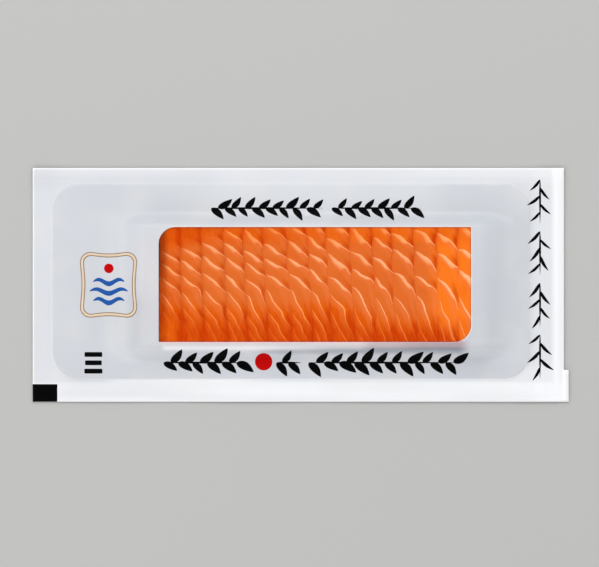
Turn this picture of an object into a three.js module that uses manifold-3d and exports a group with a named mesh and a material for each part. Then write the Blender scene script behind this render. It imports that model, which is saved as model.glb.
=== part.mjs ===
// A vacuum pack of sliced smoked salmon, lying face up.
//
// From the bottom up: a flat lower film, a stiff backing board, sixteen overlapping slices of a salmon
// loin, and an upper film drawn tight over them. The upper film is printed all over but for a clear
// window, and is modelled as two pieces that meet at the window's edge.
// The frame has +X along the pack, +Y to its upper edge and +Z up through the window.
// The origin is under the middle of the pack, on the surface that it lies on. Units are millimetres.

import * as THREE from "three";
import { mergeVertices } from "three/addons/utils/BufferGeometryUtils.js";
import Module from "manifold-3d";

const wasm = await Module();
wasm.setup();

// ---- driving sizes ----

// The film's outline: a plain oblong, with a small tab that sticks out past its lower right corner.
const FILM_LENGTH = 300;
const FILM_WIDTH = 132;
const TAB_REACH = 2.7;
const TAB_HEIGHT = 18;

// Film thickness, and the room that keeps stacked pieces clear of each other.
const LOWER_FILM = 0.5;
const UPPER_FILM = 0.5;
const CLEARANCE = 0.3;

// The place of the board: how far it lies in from the film's edges, and how the film climbs onto it.
const POCKET_FROM = { left: 11.3, right: 19.3, top: 9.2, bottom: 13.4 };
const POCKET_CORNER = 15;
const POCKET_SLOPE = { outside: 1.2, inside: 0.5 };
const BOARD_INSET = 0.9;
const BOARD_THICKNESS = 1;

// The clear window: how far it lies in from the film's edges. Two of its corners are round.
const WINDOW_FROM = { left: 71.5, right: 52.8, top: 33.5, bottom: 33.9 };
const WINDOW_CORNER = 9.5;
const WINDOW_SLIT = 0.3;

// The sliced loin. Its first cut starts at LOIN_START, measured from the middle of the pack.
const LOIN_START = -90.5;
const LOIN_HALF_WIDTH = 36.5;
const LOIN_HEIGHT = 10.8;
const LOIN_ARCH = 0.9; // how much lower the top is at the loin's long sides than along its middle
const END_FALL = 2.5; // how far the slices round off below the film at their ends
const END_STATIONS = [35, LOIN_HALF_WIDTH]; // where their rounded ends have cross-sections
const SLICE_COUNT = 16;
const SLICE_PITCH = 11.95;
const SLICE_GAP = 0.4;
const SLICE_LEAN = 1.2; // how far a cut runs to the right for each millimetre that it goes down
const SEAM_SLANT = 4.5; // how far a cut drifts to the right from the loin's upper side to its lower side
const SEAM_WOBBLE = 1; // how far a cut strays from its even place at most
const SEAM_TURN = 1.9; // how far the wave of that stray turns from one cut to the next, in radians

// Each slice rises from its left cut to a crest and falls away to its right cut.
// The film follows it only in part, and not at all beyond the window.
const CREST = 0.28; // share of the slice's width
const SLICE_DIP = 1.1;
const FILM_DIP = 0.6;
const DIP_FADE = 6; // how far past the window the film is level again

// The upper film is level over the crown and comes down to the board over these distances past it.
const CROWN_HALF_WIDTH = 33;
const FALL = { left: 18, right: 24, side: 9 };
const FALL_TOE = 1.3; // 1 for a fall that is even at its top and foot, more for a longer toe

// Where the meshes over the loin have their columns, as shares of a slice's width, and their rows,
// as shares of the crown's half width. The film and the slices share them, which keeps the gap even.
const COLUMNS = [0, CREST, 0.65];
const ROWS = [-1, -0.9, -0.75, -0.5, -0.25, 0, 0.25, 0.5, 0.75, 0.9, 1];
const FALL_STEPS = 5;
const ARC_STEPS = 8; // for each round corner of a flat piece

// ---- places worked out from the sizes ----

const HALF_LENGTH = (FILM_LENGTH + TAB_REACH) / 2;
const FILM = {
  left: -HALF_LENGTH,
  right: HALF_LENGTH - TAB_REACH,
  top: FILM_WIDTH / 2,
  bottom: -FILM_WIDTH / 2,
};
const POCKET = boxFrom(POCKET_FROM);
const WINDOW = boxFrom(WINDOW_FROM);
const BOARD_TOP = LOWER_FILM + BOARD_THICKNESS;
const LOIN_TOP = BOARD_TOP + LOIN_HEIGHT;
const ABOVE_PACK = LOIN_TOP + 2;
const CROWN = {
  left: LOIN_START + CREST * SLICE_PITCH,
  right: LOIN_START + SLICE_COUNT * SLICE_PITCH,
  top: CROWN_HALF_WIDTH,
  bottom: -CROWN_HALF_WIDTH,
};

// The box that lies in from the film's four edges by these distances.
function boxFrom(inset) {
  return {
    left: FILM.left + inset.left,
    right: FILM.right - inset.right,
    top: FILM.top - inset.top,
    bottom: FILM.bottom + inset.bottom,
  };
}

function grown(box, by) {
  return { left: box.left - by, right: box.right + by, top: box.top + by, bottom: box.bottom - by };
}

// ---- the shape of the surfaces ----

const clamp01 = (t) => Math.min(1, Math.max(0, t));
const mix = (a, b, t) => a + (b - a) * t;
const easeDown = (t) => (1 + Math.cos(Math.PI * clamp01(t))) / 2; // 1 at 0 and 0 at 1, level at both

// How far a point lies past a box's sides: below 0 inside it.
function pastBox(box, x, y) {
  return Math.max(box.left - x, x - box.right, box.bottom - y, y - box.top);
}

// How far a point lies outside the board's place with its round corners: below 0 inside it.
function pastPocket(x, y) {
  const overX = Math.max(POCKET.left + POCKET_CORNER - x, x - POCKET.right + POCKET_CORNER);
  const overY = Math.max(POCKET.bottom + POCKET_CORNER - y, y - POCKET.top + POCKET_CORNER);
  const round = Math.hypot(Math.max(overX, 0), Math.max(overY, 0));
  return round + Math.min(Math.max(overX, overY), 0) - POCKET_CORNER;
}

// 1 over the crown, falling to 0 where the upper film reaches the board.
function crownShare(x, y) {
  const along = Math.max((CROWN.left - x) / FALL.left, (x - CROWN.right) / FALL.right, 0);
  const aside = Math.max((Math.abs(y) - CROWN_HALF_WIDTH) / FALL.side, 0);
  return Math.pow(easeDown(Math.hypot(along, aside)), FALL_TOE);
}

// Where cut k shows on top of the loin: cut 0 is its left end, and cut SLICE_COUNT its right end.
// The two ends are straight, and the cuts between them slant and stray.
function seam(k, y) {
  const inner = Math.sin((Math.PI * k) / SLICE_COUNT);
  const slant = SEAM_SLANT * (-y / (2 * LOIN_HALF_WIDTH));
  const stray = SEAM_WOBBLE * Math.sin(SEAM_TURN * k);
  return LOIN_START + SLICE_PITCH * k + inner * (slant + stray);
}

// How far across its slice a point of the loin's top lies: 0 at the left cut, 1 at the right one.
function shareAcross(x, y) {
  let k = 0;
  while (k < SLICE_COUNT - 1 && x >= seam(k + 1, y)) k++;
  return clamp01((x - seam(k, y)) / (seam(k + 1, y) - seam(k, y)));
}

// 0 on the crest of a slice and 1 at its cuts.
function dip(across) {
  const pastCrest = (across - CREST) / (1 - CREST);
  return 1 - easeDown(across < CREST ? 1 - across / CREST : pastCrest);
}

// The height of the loin without the dips between its slices.
function loinTop(x, y) {
  const arch = LOIN_ARCH * Math.pow(y / LOIN_HALF_WIDTH, 2);
  return BOARD_TOP + (LOIN_HEIGHT - arch) * crownShare(x, y);
}

// The upper film's inner face.
function filmInside(x, y) {
  const slope = POCKET_SLOPE.outside + POCKET_SLOPE.inside;
  const onBoard = clamp01((POCKET_SLOPE.outside - pastPocket(x, y)) / slope);
  const sunk = FILM_DIP * dip(shareAcross(x, y)) * easeDown(pastBox(WINDOW, x, y) / DIP_FADE);
  return mix(LOWER_FILM, loinTop(x, y) + CLEARANCE - sunk, onBoard);
}

function filmOutside(x, y) {
  return filmInside(x, y) + UPPER_FILM;
}

// The top of a slice.
function sliceTop(x, y, across) {
  const pastCrown = clamp01((Math.abs(y) - CROWN_HALF_WIDTH) / (LOIN_HALF_WIDTH - CROWN_HALF_WIDTH));
  return loinTop(x, y) - SLICE_DIP * dip(across) - END_FALL * pastCrown * pastCrown;
}

// ---- solids ----

// A closed geometry from corner points and the triangles that join them.
function solid(points, triangles) {
  const geometry = new THREE.BufferGeometry();
  geometry.setAttribute("position", new THREE.Float32BufferAttribute(points.flat(), 3));
  geometry.setIndex(triangles.flat());
  return mergeVertices(geometry);
}

// Adds the quadrilateral a b c d, seen anticlockwise from outside.
function addQuad(triangles, a, b, c, d) {
  triangles.push([a, b, c], [a, c, d]);
}

// A flat piece of this outline, from z = from up to z = to.
function plate(shape, from, to) {
  const settings = { depth: to - from, bevelEnabled: false, curveSegments: ARC_STEPS };
  return new THREE.ExtrudeGeometry(shape, settings).translate(0, 0, from);
}

function toManifold(geometry) {
  const bare = geometry.clone();
  bare.deleteAttribute("normal");
  bare.deleteAttribute("uv");
  const merged = mergeVertices(bare);
  return new wasm.Manifold(
    new wasm.Mesh({
      numProp: 3,
      vertProperties: merged.attributes.position.array,
      triVerts: new Uint32Array(merged.index.array),
    }),
  );
}

function fromManifold(manifold) {
  const mesh = manifold.getMesh();
  const geometry = new THREE.BufferGeometry();
  geometry.setAttribute("position", new THREE.BufferAttribute(mesh.vertProperties, 3));
  return geometry.setIndex(new THREE.BufferAttribute(mesh.triVerts, 1));
}

// ---- outlines ----

// A box's outline as a shape. The radii are for its lower left, lower right, upper right and upper
// left corners.
function roundedShape(box, [lowerLeft, lowerRight, upperRight, upperLeft]) {
  const turn = Math.PI / 2;
  return new THREE.Shape()
    .absarc(box.left + lowerLeft, box.bottom + lowerLeft, lowerLeft, 2 * turn, 3 * turn)
    .absarc(box.right - lowerRight, box.bottom + lowerRight, lowerRight, 3 * turn, 4 * turn)
    .absarc(box.right - upperRight, box.top - upperRight, upperRight, 0, turn)
    .absarc(box.left + upperLeft, box.top - upperLeft, upperLeft, turn, 2 * turn);
}

// The window's outline, moved out by a distance, or in if it is below 0.
function windowShape(by) {
  const round = WINDOW_CORNER + by;
  const tight = 2 * Math.abs(by);
  return roundedShape(grown(WINDOW, by), [tight, round, tight, round]);
}

// A corner of a box, on the side that the signs give: its arc runs a quarter turn from the angle start.
function corner(box, signX, signY, [radiusX, radiusY], start) {
  const x = signX < 0 ? box.left + radiusX : box.right - radiusX;
  const y = signY < 0 ? box.bottom + radiusY : box.top - radiusY;
  const at = (share) => {
    const angle = start + (share * Math.PI) / 2;
    return [x + radiusX * Math.cos(angle), y + radiusY * Math.sin(angle)];
  };
  return { at, halfArc: ((radiusX + radiusY) * Math.PI) / 8 };
}

// The outline of a box with elliptical corners, as a function of a side, from 0 for the lower one
// anticlockwise to 3, and of a share of the way along it, from the middle of one corner to the next.
function sidedOutline(box, leftRadii, rightRadii) {
  const corners = [
    corner(box, -1, -1, leftRadii, Math.PI),
    corner(box, 1, -1, rightRadii, 1.5 * Math.PI),
    corner(box, 1, 1, rightRadii, 0),
    corner(box, -1, 1, leftRadii, 0.5 * Math.PI),
  ];
  return (side, share) => {
    const [first, second] = [corners[side], corners[(side + 1) % 4]];
    const [from, to] = [first.at(1), second.at(0)];
    const straight = Math.hypot(to[0] - from[0], to[1] - from[1]);
    const along = share * (first.halfArc + straight + second.halfArc);
    const left = along - first.halfArc - straight;
    if (along < first.halfArc) return first.at(0.5 + (0.5 * along) / first.halfArc);
    if (left > 0) return second.at((0.5 * left) / second.halfArc);
    return [0, 1].map((c) => mix(from[c], to[c], (along - first.halfArc) / straight));
  };
}

// Where the film has come this share of the way down from the crown.
function fallOutline(share) {
  const aside = FALL.side * share;
  const [left, right] = [FALL.left * share, FALL.right * share];
  const box = {
    left: CROWN.left - left,
    right: CROWN.right + right,
    top: CROWN.top + aside,
    bottom: CROWN.bottom - aside,
  };
  return sidedOutline(box, [left, aside], [right, aside]);
}

function pocketOutline(by) {
  const radii = [POCKET_CORNER + by, POCKET_CORNER + by];
  return sidedOutline(grown(POCKET, by), radii, radii);
}

// ---- the upper film ----

// The net of points over the crown, in rows from the lower to the upper side.
function crownNet() {
  return ROWS.map((share) => {
    const y = share * CROWN_HALF_WIDTH;
    const row = [];
    for (let k = 0; k < SLICE_COUNT; k++)
      for (const across of COLUMNS)
        if (k > 0 || across >= CREST) row.push([mix(seam(k, y), seam(k + 1, y), across), y]);
    row.push([seam(SLICE_COUNT, y), y]);
    return row;
  });
}

// The net's border as places in the net, anticlockwise, each with its side and its share of the way
// along that side.
function netBorder(net) {
  const [lastRow, lastColumn] = [net.length - 1, net[0].length - 1];
  const border = [];
  const add = (row, column, side, share) => border.push({ row, column, side, share });
  const shareX = (row, i) => (row[i][0] - row[0][0]) / (row[lastColumn][0] - row[0][0]);
  const shareY = (i) => (ROWS[i] + 1) / 2;
  for (let i = 0; i < lastColumn; i++) add(0, i, 0, shareX(net[0], i));
  for (let i = 0; i < lastRow; i++) add(i, lastColumn, 1, shareY(i));
  for (let i = lastColumn; i > 0; i--) add(lastRow, i, 2, 1 - shareX(net[lastRow], i));
  for (let i = lastRow; i > 0; i--) add(i, 0, 3, 1 - shareY(i));
  return border;
}

// The film's edge. Its lowest points on the right move out to form the tab, and the last of them and
// the first above them meet at its shoulder.
function filmEdge(border) {
  const shoulder = FILM.bottom + TAB_HEIGHT;
  const plain = sidedOutline(FILM, [0, 0], [0, 0]);
  const edge = border.map(({ side, share }) => plain(side, share));
  const onTab = edge.filter(([x, y]) => x === FILM.right && y < shoulder);
  const above = edge[edge.indexOf(onTab.at(-1)) + 1];
  for (const point of onTab) point[0] += TAB_REACH;
  onTab.at(-1)[1] = shoulder;
  above[1] = shoulder;
  return edge;
}

// The whole upper film: the net over the crown, then rings of points out to the film's edge.
function upperFilm() {
  const net = crownNet();
  const border = netBorder(net);
  const falls = Array.from({ length: FALL_STEPS }, (_, i) => fallOutline((i + 1) / FALL_STEPS));
  const outlines = [...falls, pocketOutline(-POCKET_SLOPE.inside), pocketOutline(POCKET_SLOPE.outside)];
  const rings = outlines.map((outline) => border.map(({ side, share }) => outline(side, share)));
  rings.push(filmEdge(border));

  const points = [];
  for (const face of [filmInside, filmOutside])
    for (const [x, y] of [...net.flat(), ...rings.flat()]) points.push([x, y, face(x, y)]);

  // Where a point is in the list: face 0 is the inner one, ring 0 is the net's border.
  const columns = net[0].length;
  const faceSize = points.length / 2;
  const netAt = (face, row, column) => face * faceSize + row * columns + column;
  const ringAt = (face, ring, i) => {
    const place = border[i % border.length];
    if (ring === 0) return netAt(face, place.row, place.column);
    return face * faceSize + net.length * columns + (ring - 1) * border.length + (i % border.length);
  };
  const triangles = [];
  const addBothFaces = (at) => {
    addQuad(triangles, at(1, 0, 0), at(1, 1, 0), at(1, 1, 1), at(1, 0, 1));
    addQuad(triangles, at(0, 0, 0), at(0, 0, 1), at(0, 1, 1), at(0, 1, 0));
  };
  for (let row = 0; row < net.length - 1; row++)
    for (let column = 0; column < columns - 1; column++)
      addBothFaces((face, right, up) => netAt(face, row + up, column + right));
  for (let ring = 0; ring < rings.length; ring++)
    for (let i = 0; i < border.length; i++)
      addBothFaces((face, out, on) => ringAt(face, ring + out, i + on));
  for (let i = 0; i < border.length; i++) {
    const at = (face, on) => ringAt(face, rings.length, i + on);
    addQuad(triangles, at(0, 0), at(0, 1), at(1, 1), at(1, 0));
  }
  return toManifold(solid(points, triangles));
}

// What cuts the film along the window's edge.
function windowPrism(by) {
  return toManifold(plate(windowShape(by), 0, ABOVE_PACK));
}

// ---- the other pieces ----

function lowerFilm() {
  const tab = FILM.right + TAB_REACH;
  const shoulder = FILM.bottom + TAB_HEIGHT;
  const corners = [
    [FILM.left, FILM.bottom],
    [tab, FILM.bottom],
    [tab, shoulder],
    [FILM.right, shoulder],
    [FILM.right, FILM.top],
    [FILM.left, FILM.top],
  ];
  return plate(new THREE.Shape(corners.map(([x, y]) => new THREE.Vector2(x, y))), 0, LOWER_FILM);
}

function backingBoard() {
  const radii = Array(4).fill(POCKET_CORNER - BOARD_INSET);
  return plate(roundedShape(grown(POCKET, -BOARD_INSET), radii), LOWER_FILM, BOARD_TOP);
}

// One slice, between cut k and the next, as a row of cross-sections from its lower to its upper end.
// Its sides follow the leaning cuts, so what shows of them shifts to the right where its top falls away.
// The first slice lies against the film, so its left side goes straight down.
function salmonSlice(k) {
  const shares = [...COLUMNS, 1].reverse();
  const inner = ROWS.map((share) => share * CROWN_HALF_WIDTH);
  const stations = [...END_STATIONS.map((y) => -y).reverse(), ...inner, ...END_STATIONS];
  const points = [];
  for (const y of stations) {
    const from = seam(k, y) + SLICE_GAP / 2;
    const to = seam(k + 1, y) - SLICE_GAP / 2;
    const crownY = Math.min(Math.abs(y), CROWN_HALF_WIDTH);
    const cutTop = loinTop(0, crownY) - SLICE_DIP;
    const leant = (x, z) => [x + SLICE_LEAN * (cutTop - z), y, z];
    points.push(k === 0 ? [from, y, BOARD_TOP] : leant(from, BOARD_TOP), leant(to, BOARD_TOP));
    for (const across of shares) {
      const x = mix(from, to, across);
      const rounded = sliceTop(0, crownY, across) - sliceTop(0, y, across);
      points.push([x + SLICE_LEAN * rounded, y, sliceTop(x, y, across)]);
    }
  }
  const around = shares.length + 2;
  const triangles = [];
  for (let start = 0; start < points.length - around; start += around)
    for (let i = 0; i < around; i++) {
      const next = (i + 1) % around;
      addQuad(triangles, start + next, start + i, start + around + i, start + around + next);
    }
  const end = points.length - around;
  for (let i = 1; i < around - 1; i++) triangles.push([0, i, i + 1], [end, end + i + 1, end + i]);
  return solid(points, triangles);
}

// ---- the pack ----

const printedPlastic = { color: 0xd9dce0, roughness: 0.4, metalness: 0.1 };
const clearPlastic = { color: 0xf4f6f6, roughness: 0.1, transparent: true, opacity: 0.25 };
const whitePlastic = { color: 0xe4e7e9, roughness: 0.4, metalness: 0.05 };
const greyBoard = { color: 0xc8c8c4, roughness: 0.8 };
const salmonFlesh = { color: 0xe46b2a, roughness: 0.35 };

const pack = new THREE.Group();

function addPiece(name, geometry, finish) {
  const shaded = geometry.index ? geometry.toNonIndexed() : geometry;
  shaded.computeVertexNormals();
  const mesh = new THREE.Mesh(shaded, new THREE.MeshStandardMaterial(finish));
  mesh.name = name;
  pack.add(mesh);
}

const wholeFilm = upperFilm();
addPiece("lower_film", lowerFilm(), whitePlastic);
addPiece("backing_board", backingBoard(), greyBoard);
addPiece("printed_film", fromManifold(wholeFilm.subtract(windowPrism(WINDOW_SLIT / 2))), printedPlastic);
addPiece("window_film", fromManifold(wholeFilm.intersect(windowPrism(-WINDOW_SLIT / 2))), clearPlastic);
for (let k = 0; k < SLICE_COUNT; k++)
  addPiece(`slice_${String(k + 1).padStart(2, "0")}`, salmonSlice(k), salmonFlesh);

export default pack;
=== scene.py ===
"""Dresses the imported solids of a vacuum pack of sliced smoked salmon: its films, its slices and its print."""

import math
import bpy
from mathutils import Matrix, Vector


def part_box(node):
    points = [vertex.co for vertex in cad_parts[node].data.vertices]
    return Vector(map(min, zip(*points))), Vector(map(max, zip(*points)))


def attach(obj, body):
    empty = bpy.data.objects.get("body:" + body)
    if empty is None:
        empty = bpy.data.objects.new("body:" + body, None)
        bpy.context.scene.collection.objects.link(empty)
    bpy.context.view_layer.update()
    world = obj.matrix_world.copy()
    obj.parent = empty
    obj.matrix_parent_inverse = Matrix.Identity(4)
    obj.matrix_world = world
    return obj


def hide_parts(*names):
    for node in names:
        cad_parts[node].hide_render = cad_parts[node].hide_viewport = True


bl_info = {
    "name": "Smoked Salmon Pack",
    "version": (1, 0, 0),
    "blender": (4, 5, 0),
    "location": "3D View > Sidebar > Salmon Pack",
    "description": "Builds the films, slices and print of a vacuum pack around its packed solids",
    "category": "Object",
}

from functools import lru_cache
from types import SimpleNamespace

import bpy
import numpy as np
from bpy.props import FloatProperty, FloatVectorProperty, IntProperty, PointerProperty
from mathutils import Vector
from mathutils.geometry import delaunay_2d_cdt

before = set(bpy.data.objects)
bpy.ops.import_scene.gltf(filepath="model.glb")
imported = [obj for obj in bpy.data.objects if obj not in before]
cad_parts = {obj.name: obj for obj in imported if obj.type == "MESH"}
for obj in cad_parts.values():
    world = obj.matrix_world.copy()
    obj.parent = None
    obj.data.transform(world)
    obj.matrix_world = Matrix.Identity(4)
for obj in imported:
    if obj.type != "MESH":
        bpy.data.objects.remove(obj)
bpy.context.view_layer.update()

MM = 0.001


# ---- places taken from the imported solids ----


def flat_box(low, high, by=0.0):
    """The sides of a box seen from above, moved out by a distance."""
    return SimpleNamespace(left=low.x - by, right=high.x + by, bottom=low.y - by, top=high.y + by)


def grown(box, by):
    return SimpleNamespace(left=box.left - by, right=box.right + by, bottom=box.bottom - by, top=box.top + by)


TAB_REACH = 2.7 * MM
TAB_HEIGHT = 18 * MM
BOARD_INSET = 0.9 * MM
HALF_SLIT = 0.15 * MM

FILM = flat_box(*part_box("lower_film"))
FILM.right -= TAB_REACH
POCKET = flat_box(*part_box("backing_board"), by=BOARD_INSET)
WINDOW = flat_box(*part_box("window_film"), by=HALF_SLIT)
BOARD_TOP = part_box("backing_board")[1].z

# ---- the same driving sizes as the solids have ----

POCKET_CORNER = 15 * MM
WINDOW_CORNER = 9.5 * MM
TIGHT_CORNER = 0.4 * MM
LOIN_START = -90.5 * MM
LOIN_HALF_WIDTH = 36.5 * MM
LOIN_HEIGHT = 10.8 * MM
LOIN_ARCH = 0.9 * MM
END_FALL = 2.5 * MM
SLICE_COUNT = 16
SLICE_PITCH = 11.95 * MM
SLICE_LEAN = 1.2
SEAM_SLANT = 4.5 * MM
SEAM_WOBBLE = 1 * MM
CREST = 0.28
CROWN_HALF_WIDTH = 33 * MM
FALL_LEFT, FALL_RIGHT, FALL_SIDE = 18 * MM, 24 * MM, 9 * MM
FALL_TOE = 1.3
FILM_CLEARANCE = 0.3 * MM
CROWN_LEFT = LOIN_START + CREST * SLICE_PITCH
CROWN_RIGHT = LOIN_START + SLICE_COUNT * SLICE_PITCH


def srgb(red, green, blue):
    """A colour of 0 to 255 on the screen as the linear numbers that shaders take."""
    shares = (c / 255 for c in (red, green, blue))
    return tuple(s / 12.92 if s <= 0.04045 else ((s + 0.055) / 1.055) ** 2.4 for s in shares)


# ---- settings ----


def number(name, description, default, **more):
    return FloatProperty(name=name, description=description, default=default, min=0, **more)


def length(name, description, default):
    return number(name, description, default, unit="LENGTH", precision=5)


def colour(name, description, red, green, blue):
    return FloatVectorProperty(
        name=name, description=description, default=srgb(red, green, blue), min=0, max=1, subtype="COLOR"
    )


def share(name, description, default):
    return number(name, description, default, max=1, subtype="FACTOR")


class FilmSettings(bpy.types.PropertyGroup):
    """The two films, the weld between them and the board inside."""

    thickness: length("Thickness", "Thickness of the upper film", 0.25 * MM)
    lower_thickness: length("Lower thickness", "Thickness of the lower film", 0.2 * MM)
    dip: length("Dip", "How far the clear film sinks between two slices", 0.35 * MM)
    dip_fade: length("Dip fade", "How far past the window the printed film still sinks", 6 * MM)
    lift: length("Lift", "How far the welded margin curls up from the surface", 0.9 * MM)
    ridge: length("Ridge", "Height of the pressed ridges along the margins", 0.25 * MM)
    fine_step: length("Fine step", "Mesh size over the loin", 1.0 * MM)
    coarse_step: length("Coarse step", "Mesh size over the margins", 1.5 * MM)
    dark_colour: colour("Dark", "Printed film where its tone is 0", 129, 138, 150)
    light_colour: colour("Light", "Printed film where its tone is 1", 234, 235, 238)
    warm_tint: colour("Warm tint", "What the printed film clouds into", 232, 222, 206)
    # A painted reflection of the salmon's colour on the film.
    painted_reflection_colour: colour("Blush", "What it catches of the salmon's colour", 255, 165, 155)
    # A painted highlight along the film's cut edge.
    edge_highlight_colour: colour("Edge", "Its outer edge", 244, 244, 246)
    rim_colour: colour("Rim", "Its edge round the window", 250, 232, 224)
    lower_colour: colour("Lower film", "Underside of the pack", 203, 206, 210)
    lower_cloud: colour("Lower cloud", "What the underside clouds into", 214, 217, 220)
    roughness: share("Roughness", "Roughness of the printed film", 0.45)
    board_face: colour("Board", "Face of the backing board", 206, 206, 202)
    board_fibre: colour("Board fibre", "Fibres in the board's face", 184, 184, 178)


class SalmonSettings(bpy.types.PropertyGroup):
    """The slices and the fat lines that run across them."""

    dip: length("Dip", "How far a slice falls off to its cuts", 0.4 * MM)
    film_gap: length("Film gap", "Space between the crest of a slice and the film", 0.2 * MM)
    gap: length("Gap", "Space between two slices", 0.03 * MM)
    line_spacing: length("Line spacing", "Distance between fat lines along the first cut", 8.4 * MM)
    line_spread: number("Line spread", "How much farther apart fat lines are at the last cut", 1.6)
    line_width: length("Line width", "Width of a fat line at its widest", 1.2 * MM)
    relief: length("Relief", "How far the flesh swells between fat lines", 0.14 * MM)
    flesh: colour("Flesh", "Flesh in the middle of the loin", 214, 103, 40)
    rich_flesh: colour("Rich flesh", "Flesh along the loin's upper and lower side", 216, 89, 9)
    # Deeper flesh low down; along the cuts it stands for painted shade between the slices.
    deep_and_shaded_flesh: colour("Deep flesh", "Flesh along the cuts and the loin's lowest part", 196, 60, 0)
    pale_flesh: colour("Pale flesh", "Flesh just under a fat line", 232, 124, 70)
    warm_flesh: colour("Warm flesh", "Flesh at the thick end of the loin", 240, 117, 28)
    shaded_flesh: colour("Shaded flesh", "Flesh along the window's edges", 128, 42, 4)
    fat: colour("Fat", "Middle of a fat line", 250, 178, 128)
    rich_fat: colour("Rich fat", "Middle of a fat line where the flesh is rich", 252, 160, 78)
    seed: IntProperty(name="Seed", description="Seed of the drawn differences between lines", default=7)


class PrintSettings(bpy.types.PropertyGroup):
    """The plain shapes of the print."""

    ink_height: length("Ink height", "How far the ink stands on the film", 0.03 * MM)
    black: colour("Black", "Leaves, bars and corner mark", 3, 3, 4)
    red: colour("Red", "Discs", 186, 6, 6)
    gold: colour("Gold", "Lines of the frame", 142, 122, 104)
    cream: colour("Cream", "Between the lines of the frame", 222, 198, 172)
    blue: colour("Blue", "Waves inside the frame", 32, 84, 158)
    haze: colour("Haze", "What the ink clouds into", 97, 97, 101)


class StageSettings(bpy.types.PropertyGroup):
    """The floor, the lights and the camera."""

    floor: colour("Floor", "Plain floor", 178, 178, 176)
    floor_cloud: colour("Floor cloud", "What the floor clouds into", 171, 171, 170)
    frame_width: length("Frame width", "Width of the picture at the pack", 338.4 * MM)
    camera_height: length("Camera height", "Height of the camera above the pack", 2.5)
    key_power: number("Key power", "Power of the main light", 9.0, unit="POWER")
    fill_power: number("Fill power", "Power of the low side light", 2.0, unit="POWER")
    sky_strength: number("Sky", "Strength of the even light from all round", 1.2)
    zenith_strength: number("Zenith", "Strength of the light from overhead", 0.1)


# ---- shaders ----


def arithmetic(operation):
    """An operator's two methods: the plain one, and the reflected one for a number on its left."""

    def plain(self, other):
        return self.maths(operation, self, other)

    def reflected(self, other):
        return self.maths(operation, other, self)

    return plain, reflected


class Value:
    """A shader socket. Arithmetic on it adds Math nodes."""

    def __init__(self, shader, socket):
        self.shader = shader
        self.socket = socket

    def maths(self, operation, *values):
        return self.shader.node("ShaderNodeMath", {"operation": operation}, values)

    __add__, __radd__ = arithmetic("ADD")
    __sub__, __rsub__ = arithmetic("SUBTRACT")
    __mul__, __rmul__ = arithmetic("MULTIPLY")
    __truediv__, __rtruediv__ = arithmetic("DIVIDE")
    __pow__, __rpow__ = arithmetic("POWER")

    def round(self):
        return self.maths("ROUND", self)


class Shader:
    """The nodes of a new material, or of a world."""

    def __init__(self, name, world=False):
        self.owner = (bpy.data.worlds if world else bpy.data.materials).new(name)
        self.output = "ShaderNodeOutputWorld" if world else "ShaderNodeOutputMaterial"
        self.owner.use_nodes = True
        self.tree = self.owner.node_tree
        self.tree.nodes.clear()

    def node(self, kind, settings=None, inputs=(), output=0):
        """Adds a node: first its settings, then the values or links of its sockets, by place or by name."""
        node = self.tree.nodes.new(kind)
        for key, value in (settings or {}).items():
            setattr(node, key, value)
        for key, value in inputs.items() if isinstance(inputs, dict) else enumerate(inputs):
            if isinstance(value, Value):
                self.tree.links.new(value.socket, node.inputs[key])
            else:
                node.inputs[key].default_value = fitted(value, node.inputs[key])
        return Value(self, node.outputs[output]) if node.outputs else node

    def attribute(self, name):
        return self.node("ShaderNodeAttribute", {"attribute_name": name}, output="Fac")

    def noise(self, size, detail=2.0, stretch=(1, 1, 1)):
        """Soft noise of 0 to 1 whose blobs are about this size, in metres."""
        place = self.node("ShaderNodeTexCoord", output="Object")
        stretched = self.node("ShaderNodeVectorMath", {"operation": "MULTIPLY"}, (place, stretch))
        inputs = {"Vector": stretched, "Scale": 1 / size, "Detail": detail}
        return self.node("ShaderNodeTexNoise", None, inputs)

    def step(self, value, start, end):
        """0 up to start, 1 from end, and smooth between."""
        inputs = {"Value": value, "From Min": start, "From Max": end}
        return self.node("ShaderNodeMapRange", {"interpolation_type": "SMOOTHSTEP"}, inputs)

    def mix(self, factor, first, second):
        """A colour between two others."""
        return self.node("ShaderNodeMix", {"data_type": "RGBA"}, {0: factor, 6: first, 7: second}, output=2)

    def bump(self, height, distance, strength=1.0):
        inputs = {"Height": height, "Distance": distance, "Strength": strength}
        return self.node("ShaderNodeBump", None, inputs)

    def surface(self, **sockets):
        """A Principled surface. Its sockets are named with _ for a space."""
        inputs = {key.replace("_", " "): value for key, value in sockets.items()}
        return self.node("ShaderNodeBsdfPrincipled", None, inputs)

    def finish(self, surface):
        self.node(self.output, None, {"Surface": surface})
        return self.owner


def fitted(value, socket):
    """A colour gets an alpha of 1 where its socket takes one. Anything else stays as it is."""
    return (*value, 1.0) if socket.type == "RGBA" else value


# ---- surfaces seen from above, as functions of arrays of places ----


def ease_down(t):
    """1 at 0 and 0 at 1, level at both."""
    return (1 + np.cos(np.pi * np.clip(t, 0, 1))) / 2


def ease_up(t):
    return 1 - ease_down(t)


def blend(a, b, t):
    return a + (b - a) * t


def fade_in(place, start, run):
    """0 up to a start and 1 from a run past it, smooth between. Both are in millimetres."""
    return ease_up((place - start * MM) / (run * MM))


def fade_out(place, start, run):
    """1 up to a start and 0 from a run past it, smooth between. Both are in millimetres."""
    return ease_down((place - start * MM) / (run * MM))


def bell(place, middle, width, unit=MM):
    """1 in the middle, fading out over about a width on both sides. Both are in the unit."""
    return np.exp(-(((place - middle * unit) / (width * unit)) ** 2))


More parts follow.
